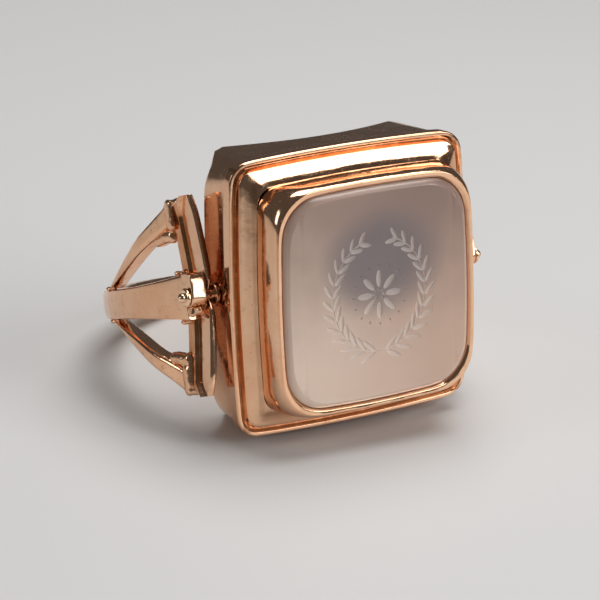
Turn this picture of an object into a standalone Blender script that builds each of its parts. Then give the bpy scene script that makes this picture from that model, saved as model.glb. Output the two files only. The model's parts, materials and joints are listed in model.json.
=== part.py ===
"""Signet ring with a swivelling case: a rose-gold box set with a flat stone, hung on two
short pins between the three-pronged shoulders of a plain band.

Lengths in this file are millimetres and are turned into metres when a mesh is written.
The ring stands the way it rests on a table: the case leans back on its rear lower edge and
the band drops behind it. World X runs along the pivot pins, Y to the back, Z up.
"""
import math

import bmesh
import bpy
from mathutils import Matrix, Vector

MM = 0.001

# ---------------------------------------------------------------- overall sizes
CASE_WIDTH = 15.7          # moulding, corner to corner across
CASE_HEIGHT = 16.5         # moulding, corner to corner up
CASE_DEPTH = 5.0           # rim plane to the crests either side of the finger hollow
CASE_SIDE_DEPTH = 3.45     # rim plane to the rear edge of the side walls
CASE_WAIST = 3.45          # rim plane to the hollow of the saddle back
SIDE_BULGE = 0.24          # how far the long edges bow outwards at mid length
CORNER_RADIUS = 1.25
CREST_FROM_SIDE = 1.95     # crests of the saddle, in from the corners
CREST_FALL = 1.60          # width over which the crest falls away to the side wall
REAR_CORNER_RADIUS = 2.0
WALL = 0.45
EDGE = 0.08                # softened edge of the case's rear rim
WALL_INSET = 0.15          # the moulding stands this far proud of the side walls

LOOP_WIDER = 1.58          # the band's middle line is this much wider than the yoke bars
LOOP_WIDEST = 6.4          # how far behind the pins the band is widest
LOOP_WIDER_FRONT = 0.40    # and by this much level with the pins
LOOP_LENGTH = 18.55        # pins to the middle of the band's thickness at the back
BAND_THICKNESS = 1.15
BAND_WIDTH_FRONT = 1.8
BAND_WIDTH_BACK = 2.3
BAND_END = 9.4             # behind the pins, where the band splits into prongs

LEAN = math.radians(8.5)   # case against the upright
DROP = math.radians(15.6)  # band against the case
HANG = math.radians(1.7)   # the case hangs a little out of square on its pins

# ---------------------------------------------------------------- clearances
FIT = 0.03                 # between pieces that are soldered or set together
RUNNING_FIT = 0.04         # pin in its hole, on the radius

# ---------------------------------------------------------------- pivot
PIVOT_BEHIND_RIM = 2.07
PIN_RADIUS = 0.30
PIN_FLANGE_RADIUS = 0.56
PIN_FLANGE = 0.22
PIN_BALL_RADIUS = 0.30
BOSS_RADIUS = 0.66
RIVET_RADIUS = 0.52
RIVET_LENGTH = 0.35

# ---------------------------------------------------------------- front of the case
MOULDING_BACK = 0.75       # moulding reaches this far behind the rim plane
RIM_WIDTH = 0.30
GROOVE_START = 0.42        # inward distance of the bottom of the groove
GROOVE_DEPTH = 0.24
COVE_CREST = 0.16          # the fillet between groove and hollow stands this far forward
RIM_SOFT = 0.07            # rounding of the rim's edges
SETTING_WIDER = 0.20       # the setting is squarer than the moulding by this much a side
SETTING_SHIFT = 0.15       # and stands this far to the right of the middle
LEDGE_END = 1.55           # inward distance at which the ledge meets the setting
LEDGE_RISE = 0.55
BEZEL_FLARE = 0.18
BEZEL_HEIGHT = 2.85        # top of the setting's lip, forward of the rim plane
BEZEL_WALL = 0.42
BEZEL_FOOT = 0.55          # setting reaches this far behind the rim plane
BEZEL_LIP_ROUND = 0.90     # the lip's corners are rounder than the moulding's by this much
BEZEL_LIP_FALL = 0.12      # the lip slopes off by this much at either edge
STONE_TABLE = 3.00         # face of the stone, forward of the rim plane
STONE_CHAMFER = 0.32
STONE_BASE = 0.20
BED_THICKNESS = 0.35
SADDLE_THICKNESS = 0.40
SADDLE_SET_IN = 0.20

# ---------------------------------------------------------------- shoulders
YOKE_HALF_HEIGHT = 5.92
YOKE_GAP = 0.31            # side wall to yoke bar at the pin
YOKE_BOW = 0.50            # how much further out the bar's ends stand than its middle
YOKE_BOW_CURVE = 1.3       # 1 would bend it only at the pin, 2 is an even bow
YOKE_THICKNESS = 0.42
YOKE_LEAN = math.radians(4.0)   # bar against the square of the band, top forward
YOKE_FRONT = 0.52          # bar's front edge ahead of the pin
YOKE_BACK = 2.05           # bar's rear edge behind the pin
YOKE_RIB = 0.25            # the rear part of the bar stands this much further out
YOKE_RIB_FROM = 0.60       # share of the bar's width at which that rib starts
YOKE_SOFT = 0.12           # rounding of the bar's long edges
YOKE_END_SHARE = 0.14      # share of the half height over which the bar's ends narrow
YOKE_END_FRONT = 0.30      # how much the ends narrow at the front
YOKE_END_BACK = 1.35       # and at the back
YOKE_FRONT_BOW = 0.22
PRONG_THICKNESS = 1.10
PRONG_SET_IN = 0.19        # middle of an outer prong inside the middle of the band
PRONG_ROOT = 10.3          # behind the pins, where an outer prong starts
PRONG_ROOT_HEIGHT = 0.12
PRONG_OUTER_RISE = 6.30
PRONG_OUTER_CURVE = 1.35   # how hollow the outer line of a prong is; 1 is straight
PRONG_INNER_RISE = 4.75
PRONG_INNER_CURVE = 1.50
PRONG_TURN = 4.80          # behind the pins, where an outer prong starts to turn in
PRONG_TURN_CURVE = 1.50
PRONG_TIP_OUT = 0.52       # middle of the tip outside the middle of the bar
PRONG_CORNER = 0.18
MIDDLE_THICKNESS = 0.75
MIDDLE_HALF_FRONT = 1.38
MIDDLE_CORNER = 0.22
KNUCKLE_RADIUS = 0.60
KNUCKLE_TOP = 1.38
KNUCKLE_LENGTH = 1.03
KNUCKLE_STEPS = 12

# ---------------------------------------------------------------- mesh fineness
SIDE_STEPS = 10
CORNER_STEPS = 5
ROUND_STEPS = 20
BAND_STEPS = 40
PRONG_STEPS = 14

# ---------------------------------------------------------------- derived sizes
WALL_HALF = CASE_WIDTH / 2 + SIDE_BULGE - WALL_INSET      # outside of the wall at the pin
YOKE_INNER = WALL_HALF + YOKE_GAP
YOKE_OUTER = YOKE_INNER + YOKE_THICKNESS
YOKE_MIDDLE = YOKE_INNER + YOKE_THICKNESS / 2
LOOP_HALF_WIDTH = YOKE_OUTER + LOOP_WIDER
LOOP_HALF_FRONT = YOKE_OUTER + LOOP_WIDER_FRONT
BAR_BOW_AT_KNUCKLE = YOKE_BOW * (KNUCKLE_TOP / YOKE_HALF_HEIGHT) ** YOKE_BOW_CURVE
KNUCKLE_INNER = YOKE_OUTER + BAR_BOW_AT_KNUCKLE + FIT
KNUCKLE_OUTER = KNUCKLE_INNER + KNUCKLE_LENGTH
HOLE_RADIUS = PIN_RADIUS + RUNNING_FIT
CREST = CASE_WIDTH / 2 - CREST_FROM_SIDE
CREST_BOW = SIDE_BULGE * (1 - (2 * CREST / CASE_WIDTH) ** 2)
CREST_HEIGHT = CASE_HEIGHT / 2 - WALL_INSET + CREST_BOW
CORNER_DROP = CREST_HEIGHT * math.cos(HANG) + CREST * math.sin(HANG)
PIVOT_HEIGHT = (CASE_DEPTH - PIVOT_BEHIND_RIM) * math.sin(LEAN) + CORNER_DROP * math.cos(LEAN)

AROUND_X = Matrix.Translation((0, 0, PIVOT_HEIGHT))
CASE_TURN = Matrix.Rotation(-LEAN, 4, "X")
PIN_PLACE = AROUND_X @ CASE_TURN
CASE_PLACE = PIN_PLACE @ Matrix.Rotation(-HANG, 4, "Y") @ Matrix.Translation((0, -PIVOT_BEHIND_RIM, 0))
BAND_PLACE = AROUND_X @ Matrix.Rotation(-(LEAN + DROP), 4, "X")


# ================================================================ starting clean
for old in list(bpy.data.objects):
    bpy.data.objects.remove(old, do_unlink=True)


# ================================================================ materials
def make_material(name, colour, roughness, metallic):
    material = bpy.data.materials.new(name)
    material.use_nodes = True
    shader = material.node_tree.nodes["Principled BSDF"]
    shader.inputs["Base Color"].default_value = (*colour, 1.0)
    shader.inputs["Roughness"].default_value = roughness
    shader.inputs["Metallic"].default_value = metallic
    material.diffuse_color = (*colour, 1.0)
    return material


ROSE = {
    "band": (0.72, 0.43, 0.30),
    "prong": (0.74, 0.46, 0.32),
    "yoke": (0.76, 0.47, 0.31),
    "solder": (0.66, 0.42, 0.27),
    "wall": (0.70, 0.42, 0.29),
    "moulding": (0.75, 0.47, 0.33),
    "setting": (0.78, 0.50, 0.36),
    "inside": (0.55, 0.33, 0.20),
}
STONE_COLOUR = (0.36, 0.27, 0.26)


# ================================================================ mesh helpers
def add_object(name, vertices, faces, place, colour, roughness=0.22, metallic=1.0):
    """One closed piece, its mesh written in world metres with its origin on the pivot line."""
    origin = Vector((0, 0, PIVOT_HEIGHT)) * MM
    mesh = bpy.data.meshes.new(name)
    world = [(place @ Vector(v)) * MM - origin for v in vertices]
    mesh.from_pydata(world, [], faces)
    body = bmesh.new()
    body.from_mesh(mesh)
    bmesh.ops.recalc_face_normals(body, faces=body.faces)
    body.to_mesh(mesh)
    body.free()
    mesh.materials.append(make_material(name + "_metal" if metallic else name + "_mineral",
                                        colour, roughness, metallic))
    piece = bpy.data.objects.new(name, mesh)
    piece.location = origin
    bpy.context.collection.objects.link(piece)
    for face in mesh.polygons:
        face.use_smooth = True
    mesh.set_sharp_from_angle(angle=math.radians(32))
    return piece


def outline(inset, radius, setting=0.0):
    """Bowed, round-cornered rectangle as (x, z) points, anticlockwise from the right side.

    Every outline has the same number of points, so any two can be joined face by face.
    setting runs from 0 (follows the moulding) to 1 (follows the stone's setting).
    """
    half_w = CASE_WIDTH / 2 - inset + SETTING_WIDER * setting
    half_h = CASE_HEIGHT / 2 - inset
    shift = SETTING_SHIFT * setting
    radius = max(radius, 0.12)
    quarter = []
    straight_h = half_h - radius
    straight_w = half_w - radius
    for k in range(SIDE_STEPS // 2 + 1):
        quarter.append((half_w, straight_h * k / (SIDE_STEPS // 2)))
    for k in range(1, CORNER_STEPS):
        angle = math.pi / 2 * k / CORNER_STEPS
        quarter.append((straight_w + radius * math.cos(angle), straight_h + radius * math.sin(angle)))
    for k in range(SIDE_STEPS // 2 + 1):
        quarter.append((straight_w * (1 - k / (SIDE_STEPS // 2)), half_h))
    bowed = []
    for x, z in quarter:
        bow_x = SIDE_BULGE * (1 - (z / half_h) ** 2) * (x / half_w) ** 2
        bow_z = SIDE_BULGE * (1 - (x / half_w) ** 2) * (z / half_h) ** 2
        bowed.append((x + bow_x, z + bow_z))
    left_up = [(-x, z) for x, z in reversed(bowed[:-1])]
    left_down = [(-x, -z) for x, z in bowed[1:]]
    right_down = [(x, -z) for x, z in reversed(bowed[1:-1])]
    whole = bowed + left_up + left_down + right_down
    return [(x + shift, z) for x, z in whole]


def saddle(x):
    """Depth of the concave back at a distance x from the middle, behind the rim plane."""
    if abs(x) <= CREST:
        return CASE_WAIST + (CASE_DEPTH - CASE_WAIST) * (x / CREST) ** 2
    share = min(1.0, (abs(x) - CREST) / CREST_FALL)
    return CASE_DEPTH - (CASE_DEPTH - CASE_SIDE_DEPTH) * share ** 2 * (3 - 2 * share)


def ring_faces(loops, count, closed):
    faces = []
    last = loops if closed else loops - 1
    for a in range(last):
        b = (a + 1) % loops
        for k in range(count):
            n = (k + 1) % count
            faces.append((a * count + k, a * count + n, b * count + n, b * count + k))
    return faces


def frame_solid(section):
    """Closed frame round the case. Section: (inset, radius, y, setting), y may be a function of x."""
    vertices = []
    for inset, radius, y, setting in section:
        for x, z in outline(inset, radius, setting):
            vertices.append((x, y(x) if callable(y) else y, z))
    count = len(vertices) // len(section)
    return vertices, ring_faces(len(section), count, True)


def slab_solid(section):
    """Closed slab filling the outline. The first and last loops are capped with upright strips."""
    vertices = []
    for inset, radius, y, setting in section:
        for x, z in outline(inset, radius, setting):
            vertices.append((x, y(x) if callable(y) else y, z))
    count = len(vertices) // len(section)
    faces = ring_faces(len(section), count, False)
    half = count // 2
    for base in (0, (len(section) - 1) * count):
        for k in range(half):
            low_a = base + (count - k) % count
            low_b = base + (count - k - 1) % count
            high_a = base + k
            high_b = base + k + 1
            corners = []
            for index in (high_a, high_b, low_b, low_a):
                if index not in corners:
                    corners.append(index)
            if len(corners) > 2:
                faces.append(tuple(corners))
    return vertices, faces


def loft_solid(sections):
    """Closed bar through matching loops of points, flat ends."""
    count = len(sections[0])
    vertices = [point for section in sections for point in section]
    faces = ring_faces(len(sections), count, False)
    faces.append(tuple(range(count)))
    faces.append(tuple((len(sections) - 1) * count + k for k in range(count)))
    return vertices, faces


def turned_solid(profile):
    """Solid turned about X. Profile: (x, radius) pairs, radius 0 allowed at both ends."""
    vertices = []
    rings = []
    for x, radius in profile:
        if radius == 0:
            rings.append([len(vertices)])
            vertices.append((x, 0, 0))
            continue
        rings.append(list(range(len(vertices), len(vertices) + ROUND_STEPS)))
        for k in range(ROUND_STEPS):
            angle = 2 * math.pi * k / ROUND_STEPS
            vertices.append((x, radius * math.cos(angle), radius * math.sin(angle)))
    faces = []
    for low, high in zip(rings, rings[1:]):
        for k in range(ROUND_STEPS):
            n = (k + 1) % ROUND_STEPS
            if len(low) == 1:
                faces.append((low[0], high[n], high[k]))
            elif len(high) == 1:
                faces.append((low[k], low[n], high[0]))
            else:
                faces.append((low[k], low[n], high[n], high[k]))
    return vertices, faces


def bored_solid(profile, bore, x_near, x_far):
    """Straight prism along X with a round bore. Profile: (y, z) points around the bore."""
    count = len(profile)
    vertices = []
    for x in (x_near, x_far):
        vertices += [(x, y, z) for y, z in profile]
        for y, z in profile:
            angle = math.atan2(z, y)
            vertices.append((x, bore * math.cos(angle), bore * math.sin(angle)))
    near, near_bore, far, far_bore = (k * count for k in range(4))
    faces = []
    for k in range(count):
        n = (k + 1) % count
        faces.append((near + k, near + n, far + n, far + k))
        faces.append((near_bore + k, far_bore + k, far_bore + n, near_bore + n))
        faces.append((near + k, near_bore + k, near_bore + n, near + n))
        faces.append((far + k, far + n, far_bore + n, far_bore + k))
    return vertices, faces


def rounded_section(half_a, half_b, corner):
    """Round-cornered rectangle as (a, b) points, three points to each corner."""
    corner = min(corner, half_a * 0.95, half_b * 0.95)
    points = []
    for sign_a, sign_b, start in ((1, 1, 0), (-1, 1, 90), (-1, -1, 180), (1, -1, 270)):
        for step in (0, 45, 90):
            angle = math.radians(start + step)
            points.append((sign_a * (half_a - corner) + corner * math.cos(angle),
                           sign_b * (half_b - corner) + corner * math.sin(angle)))
    return points


def bore_through(piece, place, radius, x_from, x_to):
    """Round hole along the pivot line, cut by a hidden cylinder."""
    vertices, faces = turned_solid(((x_from, 0), (x_from, radius), (x_to, radius), (x_to, 0)))
    cutter = add_object(piece.name + "_drill", vertices, faces, place, ROSE["inside"])
    cutter.hide_render = True
    cutter.display_type = "WIRE"
    cut = piece.modifiers.new("pin_hole", "BOOLEAN")
    cut.operation = "DIFFERENCE"
    cut.solver = "EXACT"
    cut.object = cutter


# ================================================================ band and shoulders
def loop_x(y, out=0.0):
    """Half width of the band's mid line at a distance y behind the pins."""
    if y >= LOOP_WIDEST:
        share = min(1.0, (y - LOOP_WIDEST) / (LOOP_LENGTH - LOOP_WIDEST))
        return LOOP_HALF_WIDTH * math.sqrt(1 - share ** 2) + out
    share = (LOOP_WIDEST - y) / LOOP_WIDEST
    return LOOP_HALF_WIDTH - (LOOP_HALF_WIDTH - LOOP_HALF_FRONT) * share ** 2 + out


def loop_normal(y):
    """Outward direction of the band's mid line, in the plane of the loop."""
    step = 0.01
    return Vector((2 * step, loop_x(y - step) - loop_x(y + step), 0)).normalized()


def make_shank_band():
    depth = LOOP_LENGTH - LOOP_WIDEST
    start = math.asin((BAND_END - LOOP_WIDEST) / depth)
    sections = []
    for k in range(BAND_STEPS + 1):
        angle = start + (math.pi - 2 * start) * k / BAND_STEPS
        x = LOOP_HALF_WIDTH * math.cos(angle)
        y = LOOP_WIDEST + depth * math.sin(angle)
        normal = Vector((math.cos(angle) / LOOP_HALF_WIDTH, math.sin(angle) / depth, 0)).normalized()
        back = math.sin(angle) ** 2
        half = (BAND_WIDTH_FRONT + (BAND_WIDTH_BACK - BAND_WIDTH_FRONT) * back) / 2
        section = []
        for out, up in rounded_section(BAND_THICKNESS / 2, half, 0.38):
            section.append((x + normal.x * out, y + normal.y * out, up))
        sections.append(section)
    vertices, faces = loft_solid(sections)
    add_object("shank_band", vertices, faces, BAND_PLACE, ROSE["band"])


def make_middle_prong(side, label):
    """Broad flat tongue carrying the band's line forward to the knuckle."""
    sections = []
    front = KNUCKLE_RADIUS + FIT
    rear = BAND_END - FIT
    for k in range(PRONG_STEPS + 1):
        share = k / PRONG_STEPS
        y = rear + (front - rear) * share
        half = BAND_WIDTH_FRONT / 2 + (MIDDLE_HALF_FRONT - BAND_WIDTH_FRONT / 2) * share ** 2
        thick = BAND_THICKNESS + (MIDDLE_THICKNESS - BAND_THICKNESS) * min(1.0, share * 2)
        normal = loop_normal(y)
        section = []
        for out, up in rounded_section(thick / 2, half, MIDDLE_CORNER):
            section.append((side * (loop_x(y) + normal.x * out), y + normal.y * (1 - share) * out, up))
        sections.append(section)
    vertices, faces = loft_solid(sections)
    add_object("middle_prong_" + label, vertices, faces, BAND_PLACE, ROSE["prong"])


def prong_x(y):
    """Middle of an outer prong: along the band's line, then turning in to the yoke bar."""
    front = YOKE_BACK + FIT
    turn = max(0.0, (PRONG_TURN - y) / (PRONG_TURN - front)) ** PRONG_TURN_CURVE
    return (loop_x(y) - PRONG_SET_IN) * (1 - turn) + (YOKE_MIDDLE + PRONG_TIP_OUT) * turn


def make_outer_prong(side, up_sign, name):
    """Curved bar springing from the band's edge to the end of the yoke bar."""
    seat = BAND_WIDTH_FRONT / 2 + FIT
    sections = []
    front = YOKE_BACK + FIT
    for k in range(PRONG_STEPS + 1):
        y = PRONG_ROOT + (front - PRONG_ROOT) * k / PRONG_STEPS
        share = 1 - y / PRONG_ROOT
        outer = seat + PRONG_ROOT_HEIGHT + PRONG_OUTER_RISE * share ** PRONG_OUTER_CURVE
        inner = seat + PRONG_INNER_RISE * share ** PRONG_INNER_CURVE
        middle = (outer + inner) / 2
        half = (outer - inner) / 2
        section = []
        for out, up in rounded_section(PRONG_THICKNESS / 2, half, PRONG_CORNER):
            z = up_sign * max(seat, middle + up)
            shear = z * math.tan(YOKE_LEAN) * (k / PRONG_STEPS) ** 2
            section.append((side * (prong_x(y) + out), y - shear, z))
        sections.append(section)
    vertices, faces = loft_solid(sections)
    add_object(name, vertices, faces, BAND_PLACE, ROSE["prong"])


def yoke_section(front, back):
    """Cross-section of the yoke bar as (out, along) points: a flat strip with a proud rear rib."""
    half = YOKE_THICKNESS / 2
    proud = half + YOKE_RIB
    step = front + (back - front) * YOKE_RIB_FROM
    return (
        (-half, front + YOKE_SOFT),
        (YOKE_SOFT - half, front),
        (half - YOKE_SOFT, front),
        (half, front + YOKE_SOFT),
        (half, step),
        (proud, step + YOKE_SOFT),
        (proud, back - YOKE_SOFT),
        (proud - YOKE_SOFT, back),
        (YOKE_SOFT - half, back),
        (-half, back - YOKE_SOFT),
    )


def make_yoke_bar(side, label):
    """Bowed strip across the prong ends, nearest the case at the pin."""
    sections = []
    for k in range(PRONG_STEPS + 1):
        share = -1 + 2 * k / PRONG_STEPS
        z = YOKE_HALF_HEIGHT * share
        end = max(0.0, abs(share) - 1 + YOKE_END_SHARE) / YOKE_END_SHARE
        front = -YOKE_FRONT + YOKE_FRONT_BOW * share ** 2 + YOKE_END_FRONT * end ** 2
        back = YOKE_BACK - YOKE_END_BACK * end ** 2
        centre = YOKE_MIDDLE + YOKE_BOW * abs(share) ** YOKE_BOW_CURVE
        section = []
        for out, along in yoke_section(front, back):
            section.append((side * (centre + out), along - z * math.tan(YOKE_LEAN), z))
        sections.append(section)
    vertices, faces = loft_solid(sections)
    bar = add_object("yoke_bar_" + label, vertices, faces, BAND_PLACE, ROSE["yoke"])
    bore_through(bar, BAND_PLACE, HOLE_RADIUS, side * (YOKE_INNER - 0.5), side * (YOKE_OUTER + 0.5))


def make_knuckle(side, label):
    """Block with a rounded underside that carries the pin beside the yoke bar."""
    profile = []
    for k in range(KNUCKLE_STEPS + 1):
        angle = math.pi + math.pi * k / KNUCKLE_STEPS
        profile.append((KNUCKLE_RADIUS * math.cos(angle), KNUCKLE_RADIUS * math.sin(angle)))
    for z in (0.35, 0.7, 1.0):
        profile.append((KNUCKLE_RADIUS, z * KNUCKLE_TOP * 0.92))
    for y in (0.8, 0.4, 0.0, -0.4):
        profile.append((KNUCKLE_RADIUS * y, KNUCKLE_TOP))
    profile.append((-KNUCKLE_RADIUS * 0.8, KNUCKLE_TOP * 0.92))
    profile.append((-KNUCKLE_RADIUS, KNUCKLE_TOP * 0.7))
    profile.append((-KNUCKLE_RADIUS, KNUCKLE_TOP * 0.35))
    vertices, faces = bored_solid(profile, HOLE_RADIUS, side * KNUCKLE_INNER, side * KNUCKLE_OUTER)
    add_object("knuckle_" + label, vertices, faces, BAND_PLACE, ROSE["solder"], 0.35)


# ================================================================ case
def make_case_wall():
    front = MOULDING_BACK + FIT
    outer = WALL_INSET
    inner = WALL_INSET + WALL
    rear = REAR_CORNER_RADIUS
    vertices, faces = frame_solid((
        (outer, CORNER_RADIUS, front, 0),
        (outer, rear, lambda x: saddle(x) - EDGE, 0),
        (outer + EDGE, rear, saddle, 0),
        (inner - EDGE, rear - WALL, saddle, 0),
        (inner, rear - WALL, lambda x: saddle(x) - EDGE, 0),
        (inner, CORNER_RADIUS - WALL / 2, front, 0),
    ))
    wall = add_object("case_wall", vertices, faces, CASE_PLACE, ROSE["wall"])
    reach = WALL_HALF + 0.6
    bore_through(wall, PIN_PLACE, PIN_RADIUS + FIT, -reach, reach)


def make_front_moulding():
    """Rim, groove and hollow ledge in one frame."""
    groove = GROOVE_START
    vertices, faces = frame_solid((
        (0.0, CORNER_RADIUS, MOULDING_BACK, 0),
        (0.0, CORNER_RADIUS, RIM_SOFT, 0),
        (RIM_SOFT, CORNER_RADIUS - RIM_SOFT, 0.0, 0),
        (RIM_WIDTH - RIM_SOFT, CORNER_RADIUS - 0.2, 0.0, 0),
        (RIM_WIDTH, CORNER_RADIUS - 0.25, RIM_SOFT, 0),
        (groove, CORNER_RADIUS - 0.35, GROOVE_DEPTH, 0),
        (groove + 0.10, CORNER_RADIUS - 0.45, GROOVE_DEPTH * 0.4, 0.1),
        (groove + 0.16, CORNER_RADIUS - 0.5, -0.12, 0.15),
        (groove + 0.26, CORNER_RADIUS - 0.6, -COVE_CREST, 0.25),
        (LEDGE_END * 0.61, CORNER_RADIUS - 0.65, -0.20, 0.5),
        (LEDGE_END * 0.79, CORNER_RADIUS - 0.6, -LEDGE_RISE * 0.55, 0.75),
        (LEDGE_END, CORNER_RADIUS - 0.3, -LEDGE_RISE, 1),
        (LEDGE_END, CORNER_RADIUS - 0.3, MOULDING_BACK, 1),
    ))
    add_object("front_moulding", vertices, faces, CASE_PLACE, ROSE["moulding"])


def make_bezel():
    """Flared collar that grips the stone."""
    foot = LEDGE_END + FIT
    waist = foot - BEZEL_FLARE
    inside = foot + BEZEL_WALL
    round_foot = CORNER_RADIUS
    round_lip = CORNER_RADIUS + BEZEL_LIP_ROUND
    vertices, faces = frame_solid((
        (foot, round_foot, BEZEL_FOOT, 1),
        (foot, round_foot, -LEDGE_RISE - 0.02, 1),
        (waist + 0.03, round_foot + 0.1, -LEDGE_RISE - 0.22, 1),
        (waist, round_foot + 0.3, -LEDGE_RISE - 0.6, 1),
        (waist + 0.06, round_lip - 0.3, -BEZEL_HEIGHT + 0.5, 1),
        (waist + 0.16, round_lip, -BEZEL_HEIGHT + BEZEL_LIP_FALL, 1),
        (waist + 0.28, round_lip, -BEZEL_HEIGHT, 1),
        (inside - BEZEL_LIP_FALL, round_lip, -BEZEL_HEIGHT + 0.02, 1),
        (inside, round_lip, -BEZEL_HEIGHT + 0.16, 1),
        (inside, round_lip, BEZEL_FOOT, 1),
    ))
    add_object("bezel", vertices, faces, CASE_PLACE, ROSE["setting"])


def make_stone():
    side = LEDGE_END + FIT + BEZEL_WALL + FIT
    corner = CORNER_RADIUS + 0.85
    vertices, faces = slab_solid((
        (side, corner, -STONE_BASE, 1),
        (side, corner, -STONE_TABLE + STONE_CHAMFER, 1),
        (side + STONE_CHAMFER * 0.45, corner, -STONE_TABLE + STONE_CHAMFER * 0.35, 1),
        (side + STONE_CHAMFER, corner, -STONE_TABLE, 1),
    ))
    add_object("stone", vertices, faces, CASE_PLACE, STONE_COLOUR, 0.18, 0.0)


def make_stone_bed():
    side = LEDGE_END + FIT + BEZEL_WALL + FIT
    corner = CORNER_RADIUS + 0.85
    rear = -STONE_BASE + FIT + BED_THICKNESS
    vertices, faces = slab_solid((
        (side, corner, -STONE_BASE + FIT, 1),
        (side, corner, rear, 1),
    ))
    add_object("stone_bed", vertices, faces, CASE_PLACE, ROSE["inside"], 0.45)


def make_saddle_plate():
    """Hollow-curved sheet closing the back, set a little inside the walls."""
    side = WALL_INSET + WALL + FIT
    corner = REAR_CORNER_RADIUS - WALL
    vertices, faces = slab_solid((
        (side, corner, lambda x: saddle(x) - SADDLE_SET_IN - SADDLE_THICKNESS, 0),
        (side, corner, lambda x: saddle(x) - SADDLE_SET_IN, 0),
    ))
    add_object("saddle_plate", vertices, faces, CASE_PLACE, ROSE["wall"], 0.3)


def make_pivot_pin(side, label):
    """Riveted inside the wall, runs through yoke bar and knuckle, ends in a flange and ball."""
    wall_inside = WALL_HALF - WALL
    rivet = wall_inside - 2 * FIT
    flange = KNUCKLE_OUTER + RUNNING_FIT
    profile = [
        (rivet - RIVET_LENGTH, 0),
        (rivet - RIVET_LENGTH, RIVET_RADIUS * 0.7),
        (rivet - RIVET_LENGTH * 0.6, RIVET_RADIUS),
        (rivet, RIVET_RADIUS),
        (rivet, PIN_RADIUS),
        (flange, PIN_RADIUS),
        (flange, PIN_FLANGE_RADIUS - 0.05),
        (flange + 0.05, PIN_FLANGE_RADIUS),
        (flange + PIN_FLANGE - 0.07, PIN_FLANGE_RADIUS),
        (flange + PIN_FLANGE, PIN_FLANGE_RADIUS - 0.10),
    ]
    ball = flange + PIN_FLANGE + PIN_BALL_RADIUS * 0.35
    for step in range(5):
        angle = math.radians(110 - 110 * step / 5)
        profile.append((ball + PIN_BALL_RADIUS * math.cos(angle), PIN_BALL_RADIUS * math.sin(angle)))
    profile.append((ball + PIN_BALL_RADIUS, 0))
    vertices, faces = turned_solid([(side * x, radius) for x, radius in profile])
    add_object("pivot_pin_" + label, vertices, faces, PIN_PLACE, ROSE["setting"], 0.2)


def make_pivot_boss(side, label):
    """Small round pad on the outside of the wall that spaces the case from the yoke bar."""
    profile = []
    for k in range(ROUND_STEPS):
        angle = 2 * math.pi * k / ROUND_STEPS
        profile.append((BOSS_RADIUS * math.cos(angle), BOSS_RADIUS * math.sin(angle)))
    vertices, faces = bored_solid(profile, PIN_RADIUS + FIT,
                                  side * (WALL_HALF + 2 * FIT), side * (YOKE_INNER - RUNNING_FIT))
    add_object("pivot_boss_" + label, vertices, faces, PIN_PLACE, ROSE["solder"], 0.35)


# ================================================================ assembly
def stand_on_origin():
    """Moves the whole ring so the middle of its underside is the world's origin."""
    corners = []
    for piece in bpy.data.objects:
        if not piece.hide_render:
            corners += [piece.location + vertex.co for vertex in piece.data.vertices]
    low = Vector([min(corner[axis] for corner in corners) for axis in range(3)])
    high = Vector([max(corner[axis] for corner in corners) for axis in range(3)])
    shift = Vector(((low.x + high.x) / 2, (low.y + high.y) / 2, low.z))
    for piece in bpy.data.objects:
        piece.location -= shift


make_shank_band()
for side_sign, side_label in ((-1, "left"), (1, "right")):
    make_middle_prong(side_sign, side_label)
    make_outer_prong(side_sign, 1, "upper_prong_" + side_label)
    make_outer_prong(side_sign, -1, "lower_prong_" + side_label)
    make_yoke_bar(side_sign, side_label)
    make_knuckle(side_sign, side_label)
    make_pivot_pin(side_sign, side_label)
    make_pivot_boss(side_sign, side_label)
make_case_wall()
make_front_moulding()
make_bezel()
make_stone()
make_stone_bed()
make_saddle_plate()
stand_on_origin()
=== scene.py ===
import json
import math
import random

import bpy
from mathutils import Matrix, Vector


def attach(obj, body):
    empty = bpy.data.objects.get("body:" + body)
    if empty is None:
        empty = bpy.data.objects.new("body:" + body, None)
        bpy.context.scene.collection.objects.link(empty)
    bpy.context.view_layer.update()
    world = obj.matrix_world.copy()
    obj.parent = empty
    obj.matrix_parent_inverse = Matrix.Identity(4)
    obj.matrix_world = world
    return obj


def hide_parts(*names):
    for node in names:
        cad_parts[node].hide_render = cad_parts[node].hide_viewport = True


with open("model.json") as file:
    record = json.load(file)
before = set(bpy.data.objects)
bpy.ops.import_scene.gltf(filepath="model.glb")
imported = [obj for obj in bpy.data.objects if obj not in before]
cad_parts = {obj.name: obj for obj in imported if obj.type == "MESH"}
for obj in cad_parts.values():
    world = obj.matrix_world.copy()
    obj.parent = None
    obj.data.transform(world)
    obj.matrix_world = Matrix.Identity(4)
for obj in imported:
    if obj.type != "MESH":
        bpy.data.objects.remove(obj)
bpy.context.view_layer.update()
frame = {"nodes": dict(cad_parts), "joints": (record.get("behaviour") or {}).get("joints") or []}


# ------------------------------------------------------------------ the band
# The hoop is one bar of rose gold, squared with soft edges and bent round the finger.
# Its two ends are beaten out flat into the middle tongues that run forward to the pins.
# The inside is polished by wear and the outside carries fine hairline scratches.
PER_MM = 1000
PIVOT = Vector(frame["joints"][0]["pos_m"])
LEAN = math.radians(8.5)        # the case against the upright
DROP = math.radians(15.6)       # the band against the case
BAND_TURN = Matrix.Rotation(-(LEAN + DROP), 4, "X")
SIDES = {"left": -1, "right": 1}
TONGUE_START = 9.4              # behind the pins
SEAM = 0.06                     # gap between the band and a tongue, to be closed


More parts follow.
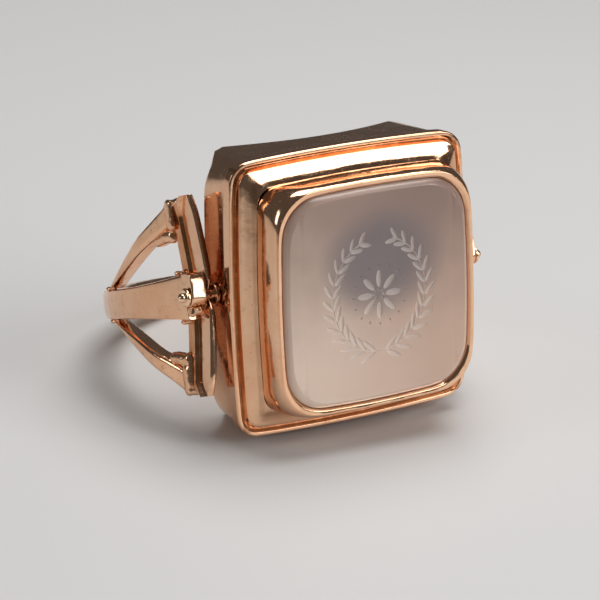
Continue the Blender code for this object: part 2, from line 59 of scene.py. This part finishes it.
class Value:
    """What one socket of a material gives out. Arithmetic on it adds Math nodes."""

    def __init__(self, finish, socket):
        self.finish = finish
        self.socket = socket

    def math(self, operation, first, second=None):
        sockets = {0: first} if second is None else {0: first, 1: second}
        return self.finish.node("ShaderNodeMath", {"operation": operation}, sockets)

    def __add__(self, other):
        return self.math("ADD", self, other)

    def __sub__(self, other):
        return self.math("SUBTRACT", self, other)

    def __rsub__(self, other):
        return self.math("SUBTRACT", other, self)

    def __mul__(self, other):
        return self.math("MULTIPLY", self, other)

    def __pow__(self, other):
        return self.math("POWER", self, other)

    def __abs__(self):
        return self.math("ABSOLUTE", self)

    __radd__ = __add__
    __rmul__ = __mul__

    def least(self, other):
        return self.math("MINIMUM", self, other)

    def most(self, other):
        return self.math("MAXIMUM", self, other)

    def rise(self, low, high):
        """0 below low, 1 above high and smooth between them; low may be above high."""
        flipped = low > high
        ends = (high, low) if flipped else (low, high)
        eased = self.finish.node(
            "ShaderNodeMapRange", {"interpolation_type": "SMOOTHSTEP"},
            {"Value": self, "From Min": ends[0], "From Max": ends[1]})
        return 1 - eased if flipped else eased


class Finish:
    """One material, put together node by node around its shader."""

    def __init__(self, name):
        self.material = bpy.data.materials.new(name)
        self.material.use_nodes = True
        self.tree = self.material.node_tree
        self.shader = self.tree.nodes["Principled BSDF"]

    def node(self, kind, settings=None, sockets=None, output=0):
        made = self.tree.nodes.new(kind)
        for key, value in (settings or {}).items():
            setattr(made, key, value)
        for key, value in (sockets or {}).items():
            self.feed(made.inputs[key], value)
        return Value(self, made.outputs[output])

    def feed(self, socket, value):
        if isinstance(value, Value):
            self.tree.links.new(value.socket, socket)
        else:
            socket.default_value = value

    def set(self, **sockets):
        for key, value in sockets.items():
            self.feed(self.shader.inputs[key.replace("_", " ")], value)

    def mix(self, factor, plain, full):
        """Colour that goes from plain to full as factor goes from 0 to 1."""
        return self.node("ShaderNodeMix", {"data_type": "RGBA"},
                         {0: factor, 6: plain, 7: full}, output=2)

    def place(self, turn=(0, 0, 0), scale=(1, 1, 1)):
        """The point on the piece in millimetres, turned and stretched."""
        here = self.node("ShaderNodeTexCoord", output="Object")
        stretched = [PER_MM * share for share in scale]
        if any(turn):
            here = self.node("ShaderNodeMapping", None, {"Vector": here, "Rotation": turn})
        return self.node("ShaderNodeMapping", None, {"Vector": here, "Scale": stretched})

    def noise(self, where, scale, detail=2.0, roughness=0.5):
        return self.node("ShaderNodeTexNoise", None,
                         {"Vector": where, "Scale": scale, "Detail": detail,
                          "Roughness": roughness})

    def bump(self, height, depth):
        """Surface relief; depth is what a height of 1 stands for, in millimetres."""
        return self.node("ShaderNodeBump", None,
                         {"Height": height, "Strength": 1.0, "Distance": depth / PER_MM})


ROSE_TONE = (0.87, 0.54, 0.345, 1)
COPPER_TONE = (0.80, 0.42, 0.24, 1)
TARNISH_TONE = (0.36, 0.17, 0.08, 1)


def rose_gold(name, polish=0.13, hairlines=0.5, tarnish=0.35, waves=1.0, tone=ROSE_TONE,
              stain_and_shade=None, stain_and_shade_tone=TARNISH_TONE):
    """Worn hand-polished rose gold. The optional mask, made from the finish, lays its tone over
    the colour; it carries real stains and painted shade.
    """
    gold = Finish(name)
    where = gold.place()
    clouds = gold.noise(where, 0.45, 3.0)
    film = gold.noise(where, 2.1, 6.0, 0.68).rise(0.52, 0.74)
    pits = gold.node("ShaderNodeTexVoronoi", None, {"Vector": where, "Scale": 2.6})
    pits = pits.rise(0.085, 0.05)
    lines = None
    for turn in ((0.3, 0.2, 0.5), (1.1, -0.4, 1.9), (0.2, 1.2, -0.8)):
        streak = gold.noise(gold.place(turn, (0.45, 17, 17)), 1.0, 1.0).rise(0.665, 0.70)
        lines = streak if lines is None else lines.most(streak)
    patch = gold.noise(where, 0.8, 1.0).rise(0.38, 0.6)
    lines = lines * patch
    colour = gold.mix(clouds.rise(0.35, 0.7) * 0.55, tone, COPPER_TONE)
    dirt = (film * tarnish).most(pits * 0.6)
    # The optional mask lays its tone over the colour: a real stain on some pieces, painted shade
    # on others.
    if stain_and_shade:
        colour = gold.mix(stain_and_shade(gold), colour, stain_and_shade_tone)
    colour = gold.mix(dirt, colour, TARNISH_TONE)
    uneven = gold.noise(where, 0.75, 2.0) * waves + gold.noise(where, 3.4, 1.0) * (0.12 * waves)
    gold.set(Base_Color=colour, Metallic=1.0,
             Roughness=polish + film * 0.10 + lines * (0.22 * hairlines) + dirt * 0.16,
             Normal=gold.bump(uneven - lines * (0.05 * hairlines) - pits * 0.35, 0.022))
    return gold.material


def deselect():
    if bpy.context.object and bpy.context.object.mode != "OBJECT":
        bpy.ops.object.mode_set(mode="OBJECT")
    bpy.ops.object.select_all(action="DESELECT")


def pick(piece):
    deselect()
    piece.select_set(True)
    bpy.context.view_layer.objects.active = piece


def cad_copy(node, name):
    """A merged copy of a CAD node, in millimetres, for finishing."""
    source = frame["nodes"][node]
    piece = bpy.data.objects.new(name, source.data.copy())
    bpy.context.scene.collection.objects.link(piece)
    piece.data.transform(Matrix.Scale(PER_MM, 4))
    piece.data.materials.clear()
    pick(piece)
    bpy.ops.object.mode_set(mode="EDIT")
    bpy.ops.mesh.select_all(action="SELECT")
    bpy.ops.mesh.remove_doubles(threshold=0.001)
    bpy.ops.mesh.tris_convert_to_quads(face_threshold=math.radians(30),
                                       shape_threshold=math.radians(70))
    bpy.ops.object.mode_set(mode="OBJECT")
    return piece


def select_faces(piece, wanted):
    """Enters edit mode on a piece with only the faces that pass the test selected."""
    pick(piece)
    bpy.ops.object.mode_set(mode="EDIT")
    bpy.ops.mesh.select_mode(type="FACE")
    bpy.ops.mesh.select_all(action="DESELECT")
    bpy.ops.object.mode_set(mode="OBJECT")
    for face in piece.data.polygons:
        face.select = wanted(face)
    bpy.ops.object.mode_set(mode="EDIT")


def join(pieces, name):
    pick(pieces[0])
    for piece in pieces:
        piece.select_set(True)
    bpy.ops.object.join()
    joined = bpy.context.object
    joined.name = name
    return joined


def finish_with(piece, kind, **settings):
    """Adds one modifier and applies it."""
    pick(piece)
    modifier = piece.modifiers.new(kind.lower(), kind)
    for key, value in settings.items():
        setattr(modifier, key, value)
    bpy.ops.object.modifier_apply(modifier=modifier.name)


def soften(piece, width, levels, angle=30, segments=2):
    """Rounds the sharp edges and smooths the faces between them."""
    finish_with(piece, "BEVEL", width=width, segments=segments, limit_method="ANGLE",
                angle_limit=math.radians(angle), use_clamp_overlap=True)
    finish_with(piece, "SUBSURF", levels=levels, render_levels=levels)


def unevenness(piece, depth, size, seed_name, where=None):
    """Gives a mesh the slight lumpiness of hand work, all over or only where asked."""
    grain = bpy.data.textures.new(seed_name, "CLOUDS")
    grain.noise_scale = size
    touched = piece.vertex_groups.new(name="touched")
    chosen = [v.index for v in piece.data.vertices if where is None or where(v.co)]
    touched.add(chosen, 1.0, "REPLACE")
    finish_with(piece, "DISPLACE", texture=grain, strength=depth, mid_level=0.5,
                texture_coords="LOCAL", vertex_group="touched")


def settle(piece, body, slot, material, *stands_for, angle=50):
    """Brings a finished piece back to metres and fixes it to its body."""
    pick(piece)
    piece.data.transform(Matrix.Scale(1 / PER_MM, 4))
    if material is not None:
        piece.data.materials.clear()
        piece.data.materials.append(material)
    bpy.ops.object.shade_smooth_by_angle(angle=math.radians(angle))
    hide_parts(*stands_for)
    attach(piece, body)


def at_seam(face):
    """Whether a face is one of the two flat ends where a tongue starts from the band."""
    to_band = BAND_TURN.inverted()
    place = to_band @ (face.center - PIVOT * PER_MM)
    facing = to_band @ face.normal
    return abs(place.y - TONGUE_START) < SEAM and abs(facing.y) > 0.9


hoop = cad_copy("shank_band", "band_core")
for side, sign in SIDES.items():
    tongue = cad_copy("middle_prong_" + side, "tongue_" + side)
    hoop = join([hoop, tongue], "band_with_tongues")
    select_faces(hoop, lambda face: at_seam(face) and face.center.x * sign > 0)
    bpy.ops.mesh.delete(type="FACE")
    bpy.ops.mesh.select_all(action="DESELECT")
    bpy.ops.mesh.select_mode(type="EDGE")
    bpy.ops.mesh.select_non_manifold()
    bpy.ops.mesh.bridge_edge_loops()
    bpy.ops.mesh.select_all(action="SELECT")
    bpy.ops.mesh.normals_make_consistent(inside=False)
soften(hoop, 0.05, 2, angle=40)
settle(hoop, "shank", "shank_gold", rose_gold("band_gold", polish=0.15, hairlines=0.8),
       "shank_band", "middle_prong_left", "middle_prong_right")

# ------------------------------------------------------------------ the outer prongs
# On each side an upper and a lower bar spring from the band's edges and open like a fork.
# They are cut from rose-gold bar, filed flat outside, and soldered to the yoke bar.
FINE_GRID = 0.055


def melt(piece, rounds):
    """Rounds a copy all over, as filing, soldering and polishing leave it."""
    finish_with(piece, "REMESH", mode="VOXEL", voxel_size=FINE_GRID, adaptivity=0)
    finish_with(piece, "SMOOTH", factor=0.6, iterations=rounds)


prong_gold = rose_gold("prong_gold", polish=0.12, hairlines=0.6, tarnish=0.45)
for side in SIDES:
    for level in ("upper", "lower"):
        node = f"{level}_prong_{side}"
        prong = cad_copy(node, node + "_bar")
        melt(prong, 16)
        settle(prong, "shank", "prong_gold", prong_gold, node, angle=180)

# ------------------------------------------------------------------ the yoke bars
# A bowed strip closes each fork and hangs the case. It is rose gold, thin at the front
# with a bright worn edge, and its rear half is a proud rib, darkened where the torch went.
PIN_HOLE = 0.55
BAR_INNER = 1.0                 # the hole starts further out than this
RIB_TONE = (0.62, 0.27, 0.11, 1)
RIB_STARTS = 0.9                # behind the pins
BAR_LEAN = math.tan(math.radians(4.0))


def close_pin_hole(piece, inner):
    """Removes a drilled hole from a copy, so that its faces smooth evenly."""
    pick(piece)
    bpy.ops.object.mode_set(mode="EDIT")
    bpy.ops.mesh.select_mode(type="VERT")
    bpy.ops.mesh.select_all(action="DESELECT")
    bpy.ops.object.mode_set(mode="OBJECT")
    centre = PIVOT * PER_MM
    for vertex in piece.data.vertices:
        off = vertex.co - centre
        vertex.select = abs(off.x) > inner and math.hypot(off.y, off.z) < PIN_HOLE
    bpy.ops.object.mode_set(mode="EDIT")
    bpy.ops.mesh.delete(type="VERT")
    bpy.ops.mesh.select_all(action="SELECT")
    bpy.ops.mesh.fill_holes(sides=0)
    bpy.ops.mesh.normals_make_consistent(inside=False)
    bpy.ops.object.mode_set(mode="OBJECT")


def split_axes(finish, centre, turn):
    """How far across, along and up a point lies from centre, in millimetres, in that lie."""
    here = finish.node("ShaderNodeTexCoord", output="Object")
    turned = finish.node("ShaderNodeMapping", {"vector_type": "TEXTURE"}, {
        "Vector": here, "Location": centre, "Rotation": turn.to_euler("XYZ"),
        "Scale": [1 / PER_MM] * 3})
    parts = finish.node("ShaderNodeSeparateXYZ", None, {"Vector": turned}).socket.node
    return [Value(finish, parts.outputs[axis]) for axis in "XYZ"]


def rib_heat(finish):
    """The rear rib, coppery where the torch reddened it."""
    across, behind, above = split_axes(finish, PIVOT, BAND_TURN)
    rib = (behind + above * BAR_LEAN).rise(RIB_STARTS, RIB_STARTS + 0.2)
    return rib * (0.55 + 0.45 * finish.noise(finish.place(), 1.2, 3.0).rise(0.35, 0.6))


yoke_gold = rose_gold("yoke_gold", polish=0.11, hairlines=0.5, tarnish=0.25,
                      stain_and_shade=rib_heat, stain_and_shade_tone=RIB_TONE)
for side in SIDES:
    bar = cad_copy("yoke_bar_" + side, "yoke_strip_" + side)
    close_pin_hole(bar, BAR_INNER)
    soften(bar, 0.11, 2, angle=35, segments=3)
    settle(bar, "shank", "yoke_gold", yoke_gold, "yoke_bar_" + side)

# ------------------------------------------------------------------ the knuckles
# Outside each yoke bar a small filed block with a round belly carries the pin.
# It is rose gold soldered between the bar and the end of the tongue.
knuckle_gold = rose_gold("knuckle_gold", polish=0.17, hairlines=0.3, tarnish=0.5, waves=1.6)
for side in SIDES:
    block = cad_copy("knuckle_" + side, "knuckle_block_" + side)
    soften(block, 0.07, 2, angle=30)
    unevenness(block, 0.06, 0.5, "knuckle_lumps")
    settle(block, "shank", "solder_gold", knuckle_gold, "knuckle_" + side)

# ------------------------------------------------------------------ the solder
# Pale solder fills the inside corners of the forks, beads at the points where the prongs
# leave the band, and lies rough and half-run under the knuckles. It was never cleaned up.
SPRING_AT = 1.0                 # how far up the prongs spring from the band's middle
TIP_INSIDE = 8.62               # the inner and outer face of a prong's tip
TIP_OUTSIDE = 9.40
BAR_REAR = 2.05                 # the rib's back, behind the pins
rng = random.Random(7)


def from_band(across, behind, above):
    """A point in the band's own lie, given along the pins, behind them and above them."""
    return PIVOT * PER_MM + BAND_TURN @ Vector((across, behind, above))


def bead(across, behind, above, radius, stretch=(1, 1, 1)):
    """One bead of solder, in the band's own lie."""
    deselect()
    bpy.ops.mesh.primitive_ico_sphere_add(subdivisions=3, radius=radius,
                                          location=from_band(across, behind, above))
    made = bpy.context.object
    made.scale = stretch
    made.rotation_euler = (-(LEAN + DROP), 0, 0)
    bpy.ops.object.transform_apply(location=True, rotation=True, scale=True)
    return made


def run_of_beads(sign, level, count, starts, ends, radius, more, stretch, stray=None):
    """Beads from each start to its end, on one side and above or below the pins. Each may
    stray upwards within the two limits given, and is larger than radius by up to more."""
    made = []
    for k in range(count):
        share = k / (count - 1)
        for start, end in zip(starts, ends):
            across, behind, above = [a + (b - a) * share for a, b in zip(start, end)]
            if stray:
                above += rng.uniform(*stray)
            made.append(bead(sign * across, behind, level * above,
                             radius + rng.uniform(0, more), stretch))
    return made


def spring_beads(sign, level):
    """Two beads where an outer prong springs from the band's edge."""
    return [bead(sign * 10.10, 10.1, level * SPRING_AT, 0.20, (1.0, 1.5, 0.8)),
            bead(sign * 9.95, 9.6, level * SPRING_AT, 0.17, (1.2, 1.8, 0.8))]


def corner_beads(sign, level):
    """The pool in the fork's inside corner: along the prong, then down the bar's back."""
    along_prong = run_of_beads(sign, level, 14, [(9.55, 3.3, 3.52)], [(9.15, 2.1, 3.70)],
                               0.24, 0.04, (1.5, 0.9, 1.6), stray=(-0.05, 0.05))
    down_bar = run_of_beads(sign, level, 9, [(9.16, BAR_REAR, 3.55)],
                            [(9.24, BAR_REAR, 5.15)], 0.25, 0.03, (1.0, 0.9, 1.4))
    return along_prong + down_bar


def tip_beads(sign, level):
    """Solder round the end of a prong, inside, outside and over the top to the bar."""
    front, bridge = (1.70, 1.35) if level > 0 else (2.35, 0.45)
    starts = [(TIP_INSIDE, front, 4.25), (TIP_OUTSIDE, front, 4.25)]
    ends = [(TIP_INSIDE, front, 5.55), (TIP_OUTSIDE, front, 5.55)]
    faces = run_of_beads(sign, level, 11, starts, ends, 0.25, 0.02, (0.9, 1.6, 1.2))
    top = run_of_beads(sign, level, 9, [(9.02, 2.55, 5.36)], [(9.02, 2.55 - bridge, 5.58)],
                       0.27, 0.02, (1.1, 1.2, 1.0))
    return faces + top


def tongue_beads(sign, level):
    """A short run between the edge of the tongue and the bar."""
    return run_of_beads(sign, level, 4, [(8.98, 1.7, 1.36)], [(9.28, 2.0, 1.36)],
                        0.18, 0.05, (1.3, 1.0, 0.9), stray=(0, 0.12))


def knuckle_beads(sign):
    """Loose beads under the knuckle."""
    return [bead(sign * rng.uniform(8.85, 9.55), rng.uniform(-0.15, 0.75),
                 -0.60 - rng.uniform(0, 0.40), rng.uniform(0.17, 0.26)) for _ in range(10)]


solder_gold = rose_gold("solder_gold", polish=0.20, hairlines=0.1, tarnish=0.7, waves=2.0)
for side, sign in SIDES.items():
    beads = []
    for level in (-1, 1):
        for kind in (spring_beads, corner_beads, tip_beads, tongue_beads):
            beads += kind(sign, level)
    beads += knuckle_beads(sign)
    pool = join(beads, "shoulder_solder_" + side)
    melt(pool, 24)
    unevenness(pool, 0.03, 0.45, "solder_grain")
    pick(pool)
    pool.data.transform(Matrix.Scale(1 / PER_MM, 4))
    pool.data.materials.append(solder_gold)
    bpy.ops.object.shade_smooth()
    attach(pool, "shank")

# ------------------------------------------------------------------ the pins and bosses
# Two short pins of round wire hold the case. Each is riveted over inside the wall and ends
# outside the knuckle in a beaten flange with a nub; a round boss keeps the case off the bar.
pin_gold = rose_gold("pin_gold", polish=0.14, hairlines=0.2, tarnish=0.3, waves=1.5,
                     tone=(0.92, 0.66, 0.45, 1))
for side in SIDES:
    pin = cad_copy("pivot_pin_" + side, "pin_" + side)
    soften(pin, 0.03, 2, angle=30)
    unevenness(pin, 0.035, 0.3, "pin_hammering")
    settle(pin, "case", "pin_gold", pin_gold, "pivot_pin_" + side)
    boss = cad_copy("pivot_boss_" + side, "boss_" + side)
    soften(boss, 0.03, 1, angle=30)
    settle(boss, "case", "solder_gold", solder_gold, "pivot_boss_" + side)

# ------------------------------------------------------------------ the case's wall and back
# The box is bent from rose-gold sheet, deeper at the two crests, with a hollow back plate
# let in between the walls so that it sits on the finger. The outside is scratched by wear.
WALL_INNER = 6.0                # the holes start further out than this
SHADOW_TONE = (0.40, 0.15, 0.06, 1)


def shadowed_side(finish):
    """Painted shade on the side walls, strongest round the pins."""
    across, behind, above = split_axes(finish, PIVOT, BAND_TURN)
    near = (behind * behind + above * above * 0.30).rise(14.0, 1.5)
    return near * abs(across).rise(7.0, 7.6) * 0.8


# The case's finish carries painted shade on its side walls by the pins.
case_gold = rose_gold("case_gold", polish=0.12, hairlines=0.9, tarnish=0.25, waves=0.8,
                      stain_and_shade=shadowed_side, stain_and_shade_tone=SHADOW_TONE)
wall = cad_copy("case_wall", "case_side_wall")
close_pin_hole(wall, WALL_INNER)
soften(wall, 0.05, 2, angle=40)
settle(wall, "case", "case_gold", case_gold, "case_wall")
back = cad_copy("saddle_plate", "saddle_back")
soften(back, 0.05, 2, angle=40)
settle(back, "case", "case_gold", rose_gold("back_gold", polish=0.17, hairlines=1.0),
       "saddle_plate")

# ------------------------------------------------------------------ the front moulding
# A frame drawn in one strip and mitred at the corners: a round rim, a narrow groove, and
# a broad hollow that rises to the setting. The groove and the setting's foot are coloured
# darker.
HANG = math.radians(1.7)        # the case hangs a little out of square on its pins
PIVOT_BEHIND_RIM = 2.07
CASE_TURN = Matrix.Rotation(-LEAN, 4, "X") @ Matrix.Rotation(-HANG, 4, "Y")
CASE_PLACE = Matrix.Translation(PIVOT * PER_MM) @ CASE_TURN
CASE_PLACE = CASE_PLACE @ Matrix.Translation((0, -PIVOT_BEHIND_RIM, 0))
HALF_WIDTH = 7.85
HALF_HEIGHT = 8.25
BULGE = 0.24                    # the long edges bow out by this much at mid length
GROOVE_AT = 0.42                # in from the outer edge
FOOT_AT = 1.45


def case_axes(finish):
    """How far across, behind the rim and up a point lies, in the case's own lie."""
    return split_axes(finish, CASE_PLACE.translation / PER_MM, CASE_TURN)


def groove_darkening(finish):
    """Dark in the groove and along the foot of the setting."""
    across, behind, up = case_axes(finish)
    bow_x = BULGE - BULGE * (up * (1 / HALF_HEIGHT)) ** 2.0
    bow_z = BULGE - BULGE * (across * (1 / HALF_WIDTH)) ** 2.0
    inset = (HALF_WIDTH + bow_x - abs(across)).least(HALF_HEIGHT + bow_z - abs(up))
    groove = abs(inset - GROOVE_AT).rise(0.16, 0.05)
    foot = abs(inset - FOOT_AT).rise(0.22, 0.08)
    patchy = finish.noise(finish.place(), 1.3, 4.0).rise(0.3, 0.6)
    return (groove * 0.75).most(foot * 0.45) * (0.55 + 0.45 * patchy)


moulding = cad_copy("front_moulding", "moulding_frame")
soften(moulding, 0.025, 2, angle=35)
settle(moulding, "case", "moulding_gold",
       rose_gold("moulding_gold", polish=0.10, hairlines=0.5, tarnish=0.2, waves=0.8,
                 stain_and_shade=groove_darkening), "front_moulding")

# ------------------------------------------------------------------ the setting
# A flared collar of rose gold stands on the moulding, and its lip is rubbed down over
# the stone's edge, which leaves the lip slightly uneven.
LIP_FROM = 2.3                  # in front of the rim


def on_lip(point):
    return (CASE_PLACE.inverted() @ point).y < -LIP_FROM


collar = cad_copy("bezel", "stone_setting")
soften(collar, 0.03, 2, angle=35)
unevenness(collar, 0.035, 1.1, "rubbed_lip", on_lip)
settle(collar, "case", "setting_gold",
       rose_gold("setting_gold", polish=0.10, hairlines=0.4, tarnish=0.2, waves=0.9), "bezel")

# ------------------------------------------------------------------ the stone
# A flat slab of milky chalcedony with a polished chamfer. Its face is cut by hand with
# small wheels: a plain round wreath of leaves about an eight-petalled rosette.
STONE_TABLE = 3.0               # in front of the rim
STONE_SHIFT = 0.15              # the setting sits a little to the right of the case
STONE_HALF = 6.25               # from the middle to the outer edge across
CHAMFER = 0.32
TALLER = 0.2                    # the half height is this much more
WREATH_WIDE = 3.15
WREATH_HIGH = 3.45
WREATH_FROM = 0.10              # radians up from the foot, where the two sprays part
WREATH_TURN = 2.62
LEAVES = 13
LEAF_SPREAD = 0.60


def mineral(name, cut):
    """Milky chalcedony with painted sheen, darker and cooler towards the top and peach towards
    the bottom and left, and a painted highlight along the chamfer; the cut strokes are paler and
    rougher.
    """
    gem = Finish(name)
    across, behind, up = case_axes(gem)
    where = gem.place()
    wisps = gem.noise(where, 0.28, 3.0) - 0.5
    # Painted sheen: the face is painted darker and cooler towards the top, and lighter towards
    # the bottom and the left.
    high = (up * 0.085 + 0.45 + wisps * 0.5).rise(0.0, 1.0)
    left = (across * -0.09 + 0.5 + wisps * 0.4).rise(0.0, 1.0)
    painted_lit_tone = gem.mix(left, (0.66, 0.46, 0.36, 1), (0.84, 0.66, 0.54, 1))
    painted_shaded_tone = gem.mix(left, (0.30, 0.20, 0.165, 1), (0.40, 0.28, 0.23, 1))
    body = gem.mix(high, painted_lit_tone, painted_shaded_tone)
    from_core = (across - 0.4) ** 2.0 * 0.05 + (up - 2.0) ** 2.0 * 0.075 + wisps * 0.4
    body = gem.mix(from_core.rise(1.1, 0.1) * 0.85, body, (0.185, 0.155, 0.165, 1))
    # Painted highlight: a paler band along the polished chamfer.
    half = STONE_HALF - CHAMFER
    past = (abs(across - STONE_SHIFT) - half).most(abs(up) - (half + TALLER))
    body = gem.mix(past.rise(-0.1, 0.3) * 0.55, body, (0.80, 0.64, 0.56, 1))
    if cut:
        body = gem.mix(0.45, body, (0.86, 0.76, 0.70, 1))
    grain = gem.noise(where, 9.0 if cut else 1.1, 3.0)
    gem.set(Base_Color=body, Roughness=(0.42 if cut else 0.20) + wisps * 0.1,
            Normal=gem.bump(grain, 0.02 if cut else 0.004),
            IOR=1.54, Subsurface_Weight=0.35, Subsurface_Radius=(1.0, 0.7, 0.55),
            Subsurface_Scale=0.0009)
    return gem.material


def stroke(across, up, length, width, turn, depth=0.09):
    """One boat-shaped wheel cut in the face, pointing along turn (radians from upright)."""
    deselect()
    bpy.ops.mesh.primitive_uv_sphere_add(segments=10, ring_count=8, radius=1)
    made = bpy.context.object
    made.data.transform(Matrix.Diagonal((width / 2, depth, length / 2, 1)))
    spot = Matrix.Translation((across + STONE_SHIFT, -STONE_TABLE, up))
    made.data.transform(CASE_PLACE @ spot @ Matrix.Rotation(turn, 4, "Y"))
    return made


def spray(hand):
    """Half of the wreath: paired leaves on a stem, smaller towards the top."""
    made = []
    for k in range(LEAVES):
        share = k / (LEAVES - 1)
        along = WREATH_FROM + WREATH_TURN * share
        leaf_x = hand * WREATH_WIDE * math.sin(along)
        leaf_z = -WREATH_HIGH * math.cos(along)
        lean = math.atan2(hand * WREATH_WIDE * math.cos(along), WREATH_HIGH * math.sin(along))
        made.append(stroke(leaf_x, leaf_z, 0.80, 0.11, lean, 0.06))
        length = 1.15 - 0.35 * share
        for out in (-1, 1):
            angle = lean + out * LEAF_SPREAD
            made.append(stroke(leaf_x + math.sin(angle) * length * 0.55,
                               leaf_z + math.cos(angle) * length * 0.55,
                               length, 0.30, angle))
    return made


def ring_of_strokes(count, radius, length, width):
    """Strokes that point outwards, evenly spaced round the middle of the stone."""
    made = []
    for k in range(count):
        angle = 2 * math.pi * k / count
        made.append(stroke(radius * math.sin(angle), radius * math.cos(angle),
                           length, width, angle))
    return made


stone = cad_copy("stone", "chalcedony")
soften(stone, 0.04, 2, angle=25)
petals = ring_of_strokes(8, 0.95, 1.05, 0.42)
middle = ring_of_strokes(8, 0.32, 0.34, 0.13)
dots = ring_of_strokes(16, 1.78, 0.22, 0.10)
strokes = spray(-1) + spray(1) + petals + middle + dots
cutter = join(strokes, "wheel_cuts")
cutter.data.materials.append(mineral("cut_chalcedony", True))
stone.data.materials.append(mineral("polished_chalcedony", False))
finish_with(stone, "BOOLEAN", operation="DIFFERENCE", solver="EXACT", object=cutter,
            use_self=True, material_mode="TRANSFER")
bpy.data.objects.remove(cutter)
settle(stone, "case", "chalcedony", None, "stone", angle=16)

# ------------------------------------------------------------------ behind the stone
# The stone lies on a plate of rose gold inside the box, which nobody sees or polishes.
bed = frame["nodes"]["stone_bed"]
bed.data.materials.clear()
bed.data.materials.append(rose_gold("bed_gold", polish=0.32, hairlines=0.3, tarnish=0.8))

# ------------------------------------------------------------------ the studio
# A pale paper floor, one large soft light overhead, and two weaker ones: one to the front
# and right, and one on the left.
RING_CENTRE = Vector((0, 0, 0.008))
deselect()
bpy.ops.mesh.primitive_plane_add(size=2.4, location=(0, 0, 0))
floor = bpy.context.object
floor.name = "floor"
paper = Finish("pale_paper")
paper.set(Base_Color=(0.66, 0.65, 0.64, 1), Roughness=0.55,
          Normal=paper.bump(paper.noise(paper.place(), 3.0, 4.0), 0.004))
floor.data.materials.append(paper.material)

world = bpy.data.worlds.new("studio")
bpy.context.scene.world = world
world.use_nodes = True
surroundings = world.node_tree.nodes["Background"]
surroundings.inputs["Color"].default_value = (0.85, 0.82, 0.80, 1)
surroundings.inputs["Strength"].default_value = 0.10


def softbox(name, place, width, height, power):
    """A soft rectangular light aimed at the ring."""
    deselect()
    bpy.ops.object.light_add(type="AREA", location=place)
    light = bpy.context.object
    light.name = name
    light.data.shape = "RECTANGLE"
    light.data.size = width
    light.data.size_y = height
    light.data.energy = power
    light.rotation_euler = (RING_CENTRE - Vector(place)).to_track_quat("-Z", "Y").to_euler()


softbox("overhead", (0.05, 0.03, 0.24), 0.20, 0.16, 0.50)
softbox("front_right", (0.14, -0.19, 0.135), 0.15, 0.16, 0.34)
softbox("left_side", (-0.26, 0.02, 0.12), 0.08, 0.12, 0.10)

camera_data = bpy.data.cameras.new("camera")
camera = bpy.data.objects.new("camera", camera_data)
bpy.context.scene.collection.objects.link(camera)
camera_data.lens = 167.15
camera_data.sensor_width = 36
camera_data.clip_start = 0.01
camera_data.clip_end = 6
backward = Vector((-0.47623, -0.79129, 0.38350))
upward = Vector((0.13383, 0.36583, 0.92101))
camera_turn = Matrix((upward.cross(backward), upward, backward)).transposed().to_4x4()
camera.matrix_world = Matrix.Translation((-0.08130, -0.13735, 0.07114)) @ camera_turn
bpy.context.scene.camera = camera
bpy.context.scene.view_settings.view_transform = "Standard"
